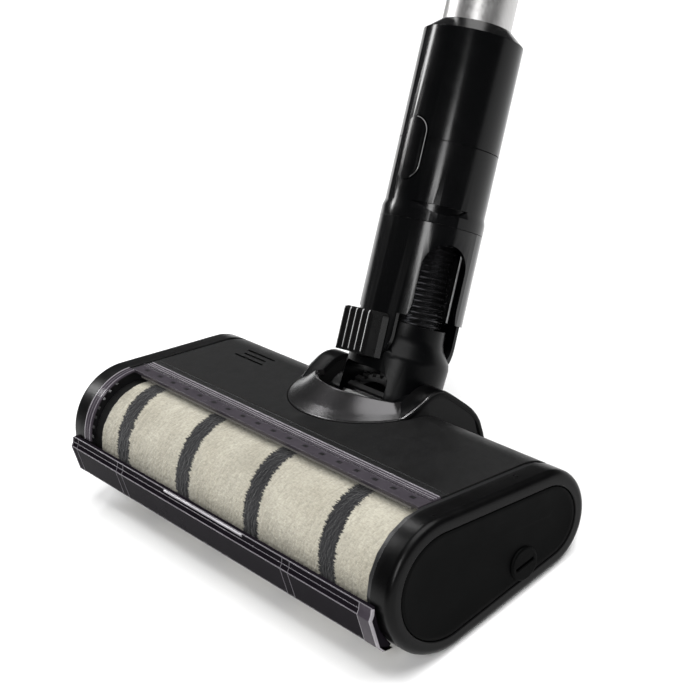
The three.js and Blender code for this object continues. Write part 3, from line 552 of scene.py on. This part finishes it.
def end_cap(side):
    """One cap: a shell with a rounded outer edge, and the dished panel that is set into it."""
    name = "right" if side > 0 else "left"
    wall, fillet, rim = 2.4, 3.6, 6.2
    recess, nick = 4.0, 0.35
    stations = [(CAP_INNER, wall), (CAP_INNER, nick), (CAP_INNER + nick, 0.0), (CAP_INNER + 3.0, 0.0)]
    for i in range(11):
        a = math.pi / 2 * i / 10
        stations.append((HEAD_HALF - fillet + fillet * math.sin(a), fillet * (1 - math.cos(a))))
    stations += [(HEAD_HALF, rim), (HEAD_HALF - 0.25, rim + 0.3), (HEAD_HALF - 1.3, rim + 0.4),
                 (HEAD_HALF - recess, rim + 0.4), (HEAD_HALF - recess, wall)]
    rings = [lobe_ring(side * x, inset) for x, inset in stations]
    verts, faces = ring_skin(rings + [rings[0]], False)
    cap = mesh_object(name + "_cap_shell", verts, faces, CAP, HEAD)
    own(cap, "head", name + "_end_cap")
    face, edge, dish_depth, dish_width = HEAD_HALF - 0.25, 7.3, 0.65, 13.0
    dish = [(HEAD_HALF - 1.6, edge - 0.35), (HEAD_HALF - 0.55, edge - 0.35), (face, edge)]
    for i in range(1, 9):
        t = i / 8
        dish.append((face - dish_depth * math.sin(t * math.pi / 2), edge + dish_width * t))
    panel_rings = [lobe_ring(side * x, inset) for x, inset in dish]
    verts, faces = ring_skin(panel_rings)
    panel = mesh_object(name + "_panel_dished", verts, faces, PANEL, HEAD, 50)
    own(panel, "head", name + "_side_panel")


for cap_side in (-1, 1):
    end_cap(cap_side)

# ------------------------------------------------------------------ top cover


def side_strip(points, x0, x1, step=2.5):
    """An outline in Y and Z pushed along X in short steps."""
    count = max(2, int((x1 - x0) / step))
    rings = [[(x0 + (x1 - x0) * k / count, y, z) for y, z in points] for k in range(count + 1)]
    return ring_skin(rings)


def prism(points, z0, z1):
    """An outline in X and Y pushed from one height to another."""
    verts = [(x, y, z0) for x, y in points] + [(x, y, z1) for x, y in points]
    n = len(points)
    faces = [tuple(range(n)), tuple(range(n, 2 * n))]
    faces += [(i, (i + 1) % n, n + (i + 1) % n, n + i) for i in range(n)]
    return verts, faces


def slot_outline(cx, cy, length, width, steps=8):
    """A slot along X with round ends."""
    half, r = length / 2 - width / 2, width / 2
    points = []
    for centre, start in ((cx + half, -math.pi / 2), (cx - half, math.pi / 2)):
        for i in range(steps + 1):
            a = start + math.pi * i / steps
            points.append((centre + r * math.cos(a), cy + r * math.sin(a)))
    return points


def cradle_outline(grow, steps=48):
    """The cradle's footprint: round in front, straight sides to the rear."""
    r = CRADLE_R + grow
    points = []
    for i in range(steps + 1):
        a = math.pi + math.pi * i / steps
        points.append((r * math.cos(a), CRADLE_Y + r * math.sin(a)))
    return points + [(r, CRADLE_REAR + grow), (-r, CRADLE_REAR + grow)]


VENT_X = -78.6
VENT_WIDTH = 1.5
VENTS = ((56.4, 24.4), (60.3, 18.6), (64.3, 23.9))      # place along Y, and length


def lobe_arc(radius, start, end, steps):
    """Points in Y and Z on an arc about the rear lobe's centre."""
    points = []
    for i in range(steps + 1):
        a = start + (end - start) * i / steps
        points.append((LOBES + radius * math.cos(a), REAR_Z + radius * math.sin(a)))
    return points


def top_cover():
    """The sloping cover, with a fine groove along its front, a hole for the cradle and three vents."""
    top = math.pi / 2 - SLOPE
    end = math.radians(-78)
    wall, groove = 2.4, 0.35
    seam_z = cover_z(SEAM_Y)
    outer = [(SEAM_Y + 0.25, seam_z), (SEAM_Y, seam_z - 0.3), (SEAM_Y, seam_z - wall)]
    outer += lobe_arc(REAR_R - wall, top, end, 30)
    outer += lobe_arc(REAR_R, end, top, 36)
    for y, drop in ((24.0, 0), (22.6, 0), (22.3, groove), (21.9, groove), (21.6, 0)):
        outer.append((y, cover_z(y) - drop))
    verts, faces = side_strip(outer, -BODY_HALF, BODY_HALF, 10)
    cover = mesh_object("top_cover_finished", verts, faces, COVER, HEAD, 28)
    cutters = [mesh_object("cradle_hole", *prism(cradle_outline(0.35), -5, 95), COVER, HEAD)]
    for y, length in VENTS:
        vent = prism(slot_outline(VENT_X, y, length, VENT_WIDTH), 30, 60)
        cutters.append(mesh_object("vent", *vent, COVER, HEAD))
    boolean_cut(cover, cutters)
    shade_by_angle(cover, 28)
    soften(cover, 0.25, 2, 40)
    own(cover, "head", "top_cover")


top_cover()

# ------------------------------------------------------------------ roller


def periodic_field(rows, cols, smooth_rows, smooth_cols):
    """Smooth random field that wraps both ways, scaled to zero mean and unit spread."""
    field = RNG.standard_normal((rows, cols))
    fr = np.fft.fftfreq(rows)[:, None] * smooth_rows
    fc = np.fft.fftfreq(cols)[None, :] * smooth_cols
    out = np.real(np.fft.ifft2(np.fft.fft2(field) * np.exp(-(fr * fr + fc * fc) * 18)))
    return (out - out.mean()) / out.std()


STRIPE_TOP_X = (-88.5, -35.3, 19.3, 73.4)   # where each stripe crosses the top of the roller
STRIPE_DRIFT = 9.3                          # along X between the front and the top
STRIPE_HALF = 5.5                           # half a stripe's width
STRIPE_FROM, STRIPE_TURN = math.radians(100), math.radians(94)
PILE_DEPTH = 0.6
PILE_END = 2.2                              # radius of the rounded ends
CORE_R = 22.4


def stripe_reach(xs, angles):
    """The way to the nearest stripe's edge in millimetres, below zero inside a stripe."""
    from_top = np.mod(angles - STRIPE_FROM, 2 * np.pi)
    from_top = np.where(from_top > np.pi, from_top - 2 * np.pi, from_top)
    drift = -STRIPE_DRIFT * from_top / STRIPE_TURN
    reach = np.full((len(xs), len(angles)), 99.0)
    for top_x in STRIPE_TOP_X:
        away = np.abs(xs[:, None] - (top_x + drift[None, :])) - STRIPE_HALF
        reach = np.minimum(reach, away)
    return np.clip(reach, -8, 8)


def roller_pile():
    """The plush roller: a fine grid of tufts round the tube, with the stripes as an attribute."""
    low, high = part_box("roller_pile")
    x0, x1 = low.x / MM, high.x / MM
    rows, cols = 520, 380
    xs = np.linspace(x0, x1, rows)
    # The angle runs from the front up over the top.
    angles = 2 * np.pi * np.arange(cols) / cols
    fine = periodic_field(rows, cols, 0.35, 0.9)
    clump = periodic_field(rows, cols, 16, 12)
    lay = periodic_field(rows, cols, 1.2, 6)
    pile = np.clip(0.5 + 0.15 * fine + 0.10 * clump + 0.07 * lay, 0, 1)
    edge = np.clip(np.minimum(xs - x0, x1 - xs) / PILE_END, 0, 1)
    shoulder = PILE_END * (1 - np.sqrt(np.clip(1 - (1 - edge) ** 2, 0, 1)))
    radius = ROLLER_R - PILE_DEPTH - 0.02 + PILE_DEPTH * pile - shoulder[:, None]
    verts = np.zeros((rows, cols, 3))
    verts[:, :, 0] = xs[:, None]
    verts[:, :, 1] = -radius * np.cos(angles)[None, :]
    verts[:, :, 2] = ROLLER_R + radius * np.sin(angles)[None, :]
    inner = [(x, -CORE_R * math.cos(a), ROLLER_R + CORE_R * math.sin(a)) for x in (x0, x1) for a in angles]
    points = np.vstack([verts.reshape(-1, 3), np.array(inner)])
    faces = []
    for r in range(rows - 1):
        base = r * cols
        for c in range(cols):
            d = (c + 1) % cols
            faces.append((base + c, base + cols + c, base + cols + d, base + d))
    n = rows * cols
    last = n - cols
    for c in range(cols):
        d = (c + 1) % cols
        faces.append((n + c, c, d, n + d))
        faces.append((last + c, n + cols + c, n + cols + d, last + d))
        faces.append((n + cols + c, n + c, n + d, n + cols + d))
    mesh = bpy.data.meshes.new("roller_plush")
    m = np.array(HEAD)
    mesh.from_pydata(((points * MM) @ m[:3, :3].T + m[:3, 3]).tolist(), [], faces)
    obj = bpy.data.objects.new("roller_plush", mesh)
    bpy.context.scene.collection.objects.link(obj)
    zeros = np.zeros(len(inner))
    for name, values in (("stripe", stripe_reach(xs, angles)), ("tuft", pile)):
        attribute = mesh.attributes.new(name, "FLOAT", "POINT")
        attribute.data.foreach_set("value", np.concatenate([values.reshape(-1), zeros]).astype(np.float32))
    mesh.materials.append(PILE)
    shade_by_angle(obj, 80)
    own(obj, "roller", "roller_pile")


roller_pile()

# ------------------------------------------------------------------ neck: the ribbed hose


def hose():
    """The ribbed hose between the yoke and the neck."""
    bottom, top, pitch, steps = 40.0, 97.0, 2.9, 6
    middle, rib, bore = 14.9, 1.3, 13.0
    profile = []
    s = bottom
    while s < top:
        for k in range(steps):
            t = k / steps
            profile.append((middle + rib * math.cos(2 * math.pi * t), s + pitch * t))
        s += pitch
    profile += [(bore, profile[-1][1]), (bore, bottom)]
    verts, faces = revolve(profile, 72)
    obj = mesh_object("bellows_hose", verts, faces, HOSE, UP, 60)
    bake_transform(obj)
    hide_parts("corrugated_hose")


hose()

# ------------------------------------------------------------------ finished copies of the remaining pieces

skin("neck_cradle", BAND, 0.7, 3, 30, flanks=EAR)


BAND_SPREAD = math.radians(76)      # of the band's foot, to each side
RIM_HALF = 33.0                     # half the width of the upper rim
RIM_Y, RIM_R = 92.5, 42.2           # centre and radius of the rim seen from above
RIM_FRONT, RIM_TOP, RIM_FALL = 50.5, 60.5, 0.547


def saddle_band():
    """The satin band: a high, smooth ramp from the round base to the sloping rim, with a rolled lip."""
    stations = 97
    rings = []
    for k in range(stations):
        u = -1 + 2 * k / (stations - 1)
        angle = u * BAND_SPREAD
        foot_r = CRADLE_R - 1.2
        foot = Vector((foot_r * math.sin(angle), CRADLE_Y - foot_r * math.cos(angle), 0))
        foot.z = cover_z(foot.y) + 0.05
        x = u * RIM_HALF
        rim = Vector((x, RIM_Y - math.sqrt(RIM_R ** 2 - x * x), 0))
        rim.z = RIM_TOP - RIM_FALL * (rim.y - RIM_FRONT)
        outward = Vector((foot.x - rim.x, foot.y - rim.y, 0)).normalized()
        inward = Vector((0 - rim.x * 0.6, RIM_Y - rim.y, 0)).normalized()
        # Both ends of the band dive into the cradle.
        sink = 3.0 * max(0.0, (abs(u) - 0.90) / 0.10) ** 1.5
        ring = [foot + outward * (0.9 - sink), foot + outward * (0.55 - sink) + Vector((0, 0, 0.25))]
        for i in range(13):
            t = i / 12
            sag = -0.9 * math.sin(math.pi * t) * (1 - t * 0.4)
            point = foot.lerp(rim, t) - outward * sink
            ring.append(point + outward * (0.25 + sag * 0.5) + Vector((0, 0, 0.25 + sag * 0.3)))
        lip = ring[-1]
        for i in range(1, 7):
            a = math.pi / 2 * i / 6
            rise = Vector((0, 0, 0.3 * math.sin(2 * a)))
            ring.append(lip + inward * (0.8 * math.sin(a) + 0.9 * i / 6) + rise)
        ring.append(ring[-1] + Vector((0, 0, -3.0)))
        ring.append(foot + Vector((0, 0, -1.2)) - outward * 3)
        rings.append([tuple(p) for p in ring])
    own(mesh_object("saddle_band", *ring_skin(rings), BAND, HEAD, 50), "head")


saddle_band()

# The ear's outline in Y and Z, from its front over the top and down its back.
EAR_TOP = [(57.5, 50.0), (60.6, 50.5), (68.2, 52.4), (76.0, 54.2), (80.0, 54.2), (83.6, 53.3), (86.8, 51.2),
           (89.9, 47.9), (95.3, 40.9), (100.9, 33.0), (103.8, 26.1), (104.6, 19.0), (104.6, 12.0)]
EAR_INNER = 29.75
EAR_OUTER = 41.25
EAR_ROUND = 2.2


def smooth_line(points, per_span):
    """Extra points along a soft curve through the given ones."""
    out = []
    last = len(points) - 1
    for i in range(last):
        p0, p1, p2, p3 = (Vector(points[max(0, min(last, k))]) for k in (i - 1, i, i + 1, i + 2))
        for k in range(per_span):
            t = k / per_span
            out.append(0.5 * (2 * p1 + (p2 - p0) * t + (2 * p0 - 5 * p1 + 4 * p2 - p3) * t * t
                              + (3 * p1 - p0 - 3 * p2 + p3) * t ** 3))
    return out + [Vector(points[-1])]


def ear(side):
    """The hump beside the neck that holds the pivot pin, with a rounded outer edge."""
    line = smooth_line(EAR_TOP, 6)
    rings = []
    for i, point in enumerate(line):
        ahead, behind = line[min(i + 1, len(line) - 1)], line[max(i - 1, 0)]
        along = (ahead - behind).normalized()
        inward = Vector((along.y, -along.x))
        reach = EAR_OUTER
        if point.x < CRADLE_Y:
            reach = math.sqrt(EAR_OUTER ** 2 - (CRADLE_Y - point.x) ** 2)
        ring = [(EAR_INNER, 3.0), (EAR_INNER, 0.5), (EAR_INNER + 0.15, 0.12), (EAR_INNER + 0.55, 0.0)]
        for k in range(9):
            a = math.pi / 2 * k / 8
            ring.append((reach - EAR_ROUND + EAR_ROUND * math.sin(a), EAR_ROUND - EAR_ROUND * math.cos(a)))
        ring += [(reach, 3.0), (reach - 1.0, 3.6), (30.5, 3.6)]
        rings.append([(side * x, point.x + inward.x * d, point.y + inward.y * d) for x, d in ring])
    own(mesh_object("ear_%s" % ("right" if side > 0 else "left"), *ring_skin(rings), EAR, HEAD, 50), "head")


for ear_side in (-1, 1):
    ear(ear_side)

skin("neck_yoke", YOKE, 0.9, 4, 50)
skin("neck_shell", GLOSS, 0.45, 3, 34)


def neck_sector(name, material, radii, low, high, start, end, steps=40):
    """A wedge round the neck between two azimuths; low and high give its edges along the arc."""
    rings = []
    for k in range(steps + 1):
        t = k / steps
        a = math.radians(start + (end - start) * t)
        ring = []
        for r, s in ((radii[0], low(t)), (radii[1], low(t)), (radii[1], high(t)), (radii[0], high(t))):
            ring.append((r * math.cos(a), r * math.sin(a), s))
        rings.append(ring)
    return mesh_object(name, *ring_skin(rings), material, UP)


NOTCH_TOP, NOTCH_END, NOTCH_DEPTH = 106.5, 106.35, 4.3


def notch_floor(t):
    """Lower edge of the crescent, deepest a little past its middle."""
    return NOTCH_END - NOTCH_DEPTH * math.sin(math.pi * t ** 1.35)


def socket():
    """The wand's socket, with the crescent notch cut into its foot."""
    obj = skin("wand_socket", GLOSS, 0, 3, 34)
    notch = neck_sector("notch", GLOSS, (23.4, 40), notch_floor, lambda t: NOTCH_TOP, -76, -6)
    boolean_cut(obj, [notch])
    shade_by_angle(obj, 34)
    soften(obj, 0.55, 3, 34)


def window_rail(azimuth):
    """A slim guide rail between the hose and the side window, in a light grey that paints a highlight line
    along it.
    """
    half, bottom, top = 1.6, 52.5, 96.8
    rail = neck_sector("rail_%d" % azimuth, HIGHLIGHT_GREY, (19.6, 20.4), lambda t: bottom, lambda t: top,
                       azimuth - half, azimuth + half, 4)
    own(soften(rail, 0.25, 2, 30), "neck")


socket()
for rail_at in (19, 161):
    window_rail(rail_at)
skin("wand_collar", GLOSS, 0.7, 3, 30)
skin("wand_button", GLOSS, 1.1, 4, 30)
skin("foot_pedal", PEDAL, 0.45, 3, 30)


def button_highlight():
    """A light line that paints a highlight along the right edge of the button and over its top."""
    half, low, high = 7.4, 123.75, 139.25
    line, inner, outer = 0.14, TUBE_R + 0.1, TUBE_R + 0.55
    path = []
    for start, end, centre in ((-60, 0, low), (0, 96, high)):
        for degrees in range(start, end, 6):
            a = math.radians(degrees)
            path.append((half * math.cos(a), centre + half * math.sin(a)))
    rings = []
    for x, s in path:
        straight = x > half - 0.2
        ring = []
        for r, wide in ((inner, -line), (outer, -line), (outer, line), (inner, line)):
            ring.append((x * (1 + wide / half), -math.sqrt(r * r - x * x), s if straight else s + wide))
        rings.append(ring)
    own(mesh_object("button_highlight", *ring_skin(rings), HIGHLIGHT_GREY, UP), "button")


button_highlight()


RIB_FIRST, RIB_STEP = -13.6, 4.4        # the pedal's ribs along X
RIB_FACE = -31.3


def pedal_crests():
    """Light lines on the crests of the five grip ribs of the pedal: painted highlights."""
    profile = ((-0.75, 0.0), (-0.62, 0.32), (-0.36, 0.38), (-0.22, 0.0))
    for i in range(5):
        x = RIB_FIRST + i * RIB_STEP
        lines = []
        for s, drop in ((29.6, 0.5), (30.2, 0.0), (49.6, 0.0), (50.3, 0.5)):
            lines.append([(x + dx, RIB_FACE - rise + drop, s) for dx, rise in profile])
        own(mesh_object("pedal_crest_%d" % i, *ring_skin(lines), PEDAL_HIGHLIGHT, UP), "pedal")


pedal_crests()
skin("pivot_drum", RIBBED, 0.25, 2, 30)
skin("hose_cuff", HOSE, 0.2, 2, 50)
skin("bumper_strip", SMOKE_AND_SHADE, 0.4, 2, 20)
skin("window_strip", WINDOW, 0.3, 2, 20)
skin("cap_lock", PANEL, 0.3, 2, 30)

# ------------------------------------------------------------------ clear trims round the roller


def bead(name, y, z, x0, x1, radius, material):
    """A thin rounded line along X."""
    points = []
    for k in range(8):
        a = k * math.pi / 4
        points.append((y + radius * math.cos(a), z + radius * math.sin(a)))
    own(mesh_object(name, *side_strip(points, x0, x1, 12), material, HEAD), "head")


# The bumper's outer faces in Y and Z, from its foot up.
BUMPER = [(-29.6, 16.6), (-32.6, 17.2), (-34.6, 20.5), (-35.0, 34.6), (-33.4, 36.4), (-32.4, 39.0)]
BUMPER_LINES = ((-34.95, 34.65, 0.28), (-33.4, 36.5, 0.2), (-32.3, 39.0, 0.3), (-34.55, 20.5, 0.22))
BUMPER_LEFT, BUMPER_RIGHT = -120.8, 116.8
CLIP_AT, CLIP_HALF, CLIP_LINE = (-75.0, 60.0), 2.6, 0.18
# Ribs at the bumper's ends: name, from, to, how proud, material.
BUMPER_ENDS = (
    ("left", -121.3, -120.5, 0.35, EDGE_HIGHLIGHT),
    ("left_step", -116.2, -115.9, 0.2, EDGE_HIGHLIGHT),
    ("right", 116.5, 117.5, 0.45, GLINT),
    ("step", 109.0, 109.5, 0.35, GLINT),
    ("block", 109.4, 116.7, 0.4, LENS),
)


def bumper_rib(name, x0, x1, grow, material, stations=BUMPER):
    """A thin band laid over the bumper's outer faces."""
    outer = [(y - grow, z + grow * 0.4) for y, z in stations]
    inner = [(y + 0.8, z - 0.3) for y, z in reversed(stations)]
    obj = mesh_object(name, *side_strip(outer + inner, x0, x1, 4), material, HEAD)
    own(soften(obj, 0.15, 2, 30), "head")


def bumper_trims():
    """Edge lines, the bar on the top edge, two clips and the ribs at both ends; all but the end block take
    light colours that paint highlights.
    """
    for i, (y, z, radius) in enumerate(BUMPER_LINES):
        bead("bumper_line_%d" % i, y, z, BUMPER_LEFT, BUMPER_RIGHT, radius, EDGE_HIGHLIGHT)
    # The bar's light colour paints the glint along the bumper's top edge.
    bead("bumper_bar", -32.5, 38.3, -35, 28, 0.75, GLINT)
    for i, x in enumerate(CLIP_AT):
        for k, side in enumerate((-CLIP_HALF, CLIP_HALF)):
            x0, x1 = x + side - CLIP_LINE, x + side + CLIP_LINE
            bumper_rib("bumper_clip_%d%d" % (i, k), x0, x1, 0.2, EDGE_HIGHLIGHT, BUMPER[2:])
    for name, x0, x1, grow, material in BUMPER_ENDS:
        bumper_rib("bumper_end_" + name, x0, x1, grow, material)


FRAME_FROM, FRAME_TO = -11.0, 76.5      # degrees from the upright towards the front
FRAME_LEFT, FRAME_RIGHT = -112.7, -106.6
FRAME_R = 31.0
# Lines on the frame: place along X, width, outer radius, material.
FRAME_LINES = ((-112.4, 0.5, 31.25, GLINT), (-110.2, 0.3, 31.15, EDGE_HIGHLIGHT), (-107.9, 0.4, 31.2, RIDGE_HIGHLIGHT))


def arc_band(name, x0, x1, outer, inner, start, end, material, steps=72):
    """A curved plate round the roller chamber, between two angles from the upright towards the front."""
    rings = []
    for k in range(steps + 1):
        a = math.radians(start + (end - start) * k / steps)
        ring = []
        for x, r in ((x0, outer), (x1, outer), (x1, inner), (x0, inner)):
            ring.append((x, -r * math.sin(a), FRONT_Z + r * math.cos(a)))
        rings.append(ring)
    own(mesh_object(name, *ring_skin(rings), material, HEAD), "head")


def clear_frame():
    """The clear frame at the roller's left end, with three lines whose light colours paint highlights, and a
    row of dark dots.
    """
    arc_band("frame_plate", FRAME_LEFT, FRAME_RIGHT, FRAME_R, 30.3, FRAME_FROM, FRAME_TO, LENS)
    for i, (x, width, radius, material) in enumerate(FRAME_LINES):
        x0, x1 = x - width / 2, x + width / 2
        arc_band("frame_line_%d" % i, x0, x1, radius, 30.2, FRAME_FROM, FRAME_TO, material)
    for k in range(7):
        at = 12 + k * 9.4
        arc_band("frame_dot_%d" % k, -105.6, -103.6, FRAME_R + 0.08, FRAME_R - 0.1, at, at + 2.6, VEIL, 4)


STRIP_HALF = 109.6
STRIP_LINES = ((18.2, 0.32), (16.6, 0.2), (15.2, 0.2), (6.6, 0.24))     # place along Y, radius
STRIP_FRONT = 7.5
SPOTS, SPOT_FIRST, SPOT_STEP, SPOT_HALF = 18, -102, 12, 1.5


def strip_trims():
    """A black sheet under the clear strip that paints the shade there, fine lines along it whose light
    colour paints highlights, and a row of dark spots.
    """
    # Painted shade: a black sheet under the rear of the clear strip.
    veil = [(y, cover_z(y) - 2.15) for y in (12.4, 18.4)] + [(y, cover_z(y) - 2.5) for y in (18.4, 12.4)]
    own(mesh_object("strip_painted_shade", *side_strip(veil, -109, 109, 20), VEIL, HEAD), "head")
    for i, (y, radius) in enumerate(STRIP_LINES):
        z = cover_z(y) + radius * 0.3 if y > STRIP_FRONT else cover_z(STRIP_FRONT) - 0.1
        bead("strip_line_%d" % i, y, z, -STRIP_HALF, STRIP_HALF, radius, RIDGE_HIGHLIGHT)
    front, back = 9.4, 11.2
    for k in range(SPOTS):
        x = SPOT_FIRST + k * SPOT_STEP
        spot = [(front, cover_z(front) + 0.06), (back, cover_z(back) + 0.06),
                (back, cover_z(back) - 0.3), (front, cover_z(front) - 0.3)]
        strip = side_strip(spot, x - SPOT_HALF, x + SPOT_HALF, 3)
        own(mesh_object("strip_spot_%d" % k, *strip, VEIL, HEAD), "head")


bumper_trims()
clear_frame()
strip_trims()

# ------------------------------------------------------------------ wand, wheels and everything inside

skin("wand_tube", ALUMINIUM, 0.15, 2, 40)
for each in ("left_wheel", "right_wheel"):
    skin(each, RUBBER, 0.5, 2, 30)
for each in ("left_side_plate", "right_side_plate", "lower_housing", "suction_duct"):
    skin(each, INNER_DARK, 0.3, 2, 30)
for each in ("roller_end_ring", "roller_drive_hub", "roller_idle_hub", "driven_pulley"):
    skin(each, RIBBED, 0.3, 2, 30)
PLAIN = {
    "roller_core": INNER, "rear_seal": RUBBER, "drive_belt": RUBBER, "light_strip": LAMPS,
    "control_board": BOARD, "drive_motor": DARK_STEEL, "motor_pulley": STEEL, "motor_shaft": STEEL,
    "roller_axle": STEEL, "end_bearing": STEEL, "button_spring": STEEL,
}
for each, look in PLAIN.items():
    skin(each, look, 0.15, 2, 30)
for each in frame["nodes"]:
    if each in PLAIN or each == "pedal_spring":
        continue
    if "knuckle_pin" in each or each.endswith("_pin"):
        skin(each, DARK_STEEL, 0.15, 2, 30)
    elif each.startswith("sole_screw") or each.endswith("_axle"):
        skin(each, STEEL, 0.15, 2, 30)


def pedal_return():
    """The pedal's spring in blackened steel, on a mesh of its own."""
    coil = skin("pedal_spring", DARK_STEEL, 0.15, 2, 30)
    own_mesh(coil)


pedal_return()

# ------------------------------------------------------------------ floor


def floor():
    """A wide pale floor just under the part."""
    side, cells, height = 8000, 24, -0.05
    verts, faces = [], []
    for i in range(cells + 1):
        for k in range(cells + 1):
            verts.append(((i / cells - 0.5) * side, (k / cells - 0.5) * side, height))
    for i in range(cells):
        for k in range(cells):
            a = i * (cells + 1) + k
            faces.append((a, a + cells + 1, a + cells + 2, a + 1))
    shade = Shade("floor_pale", (0.86, 0.86, 0.86), 0.75)
    shade.mottle(0.01, 3)
    mesh_object("floor", verts, faces, shade.mat)


floor()
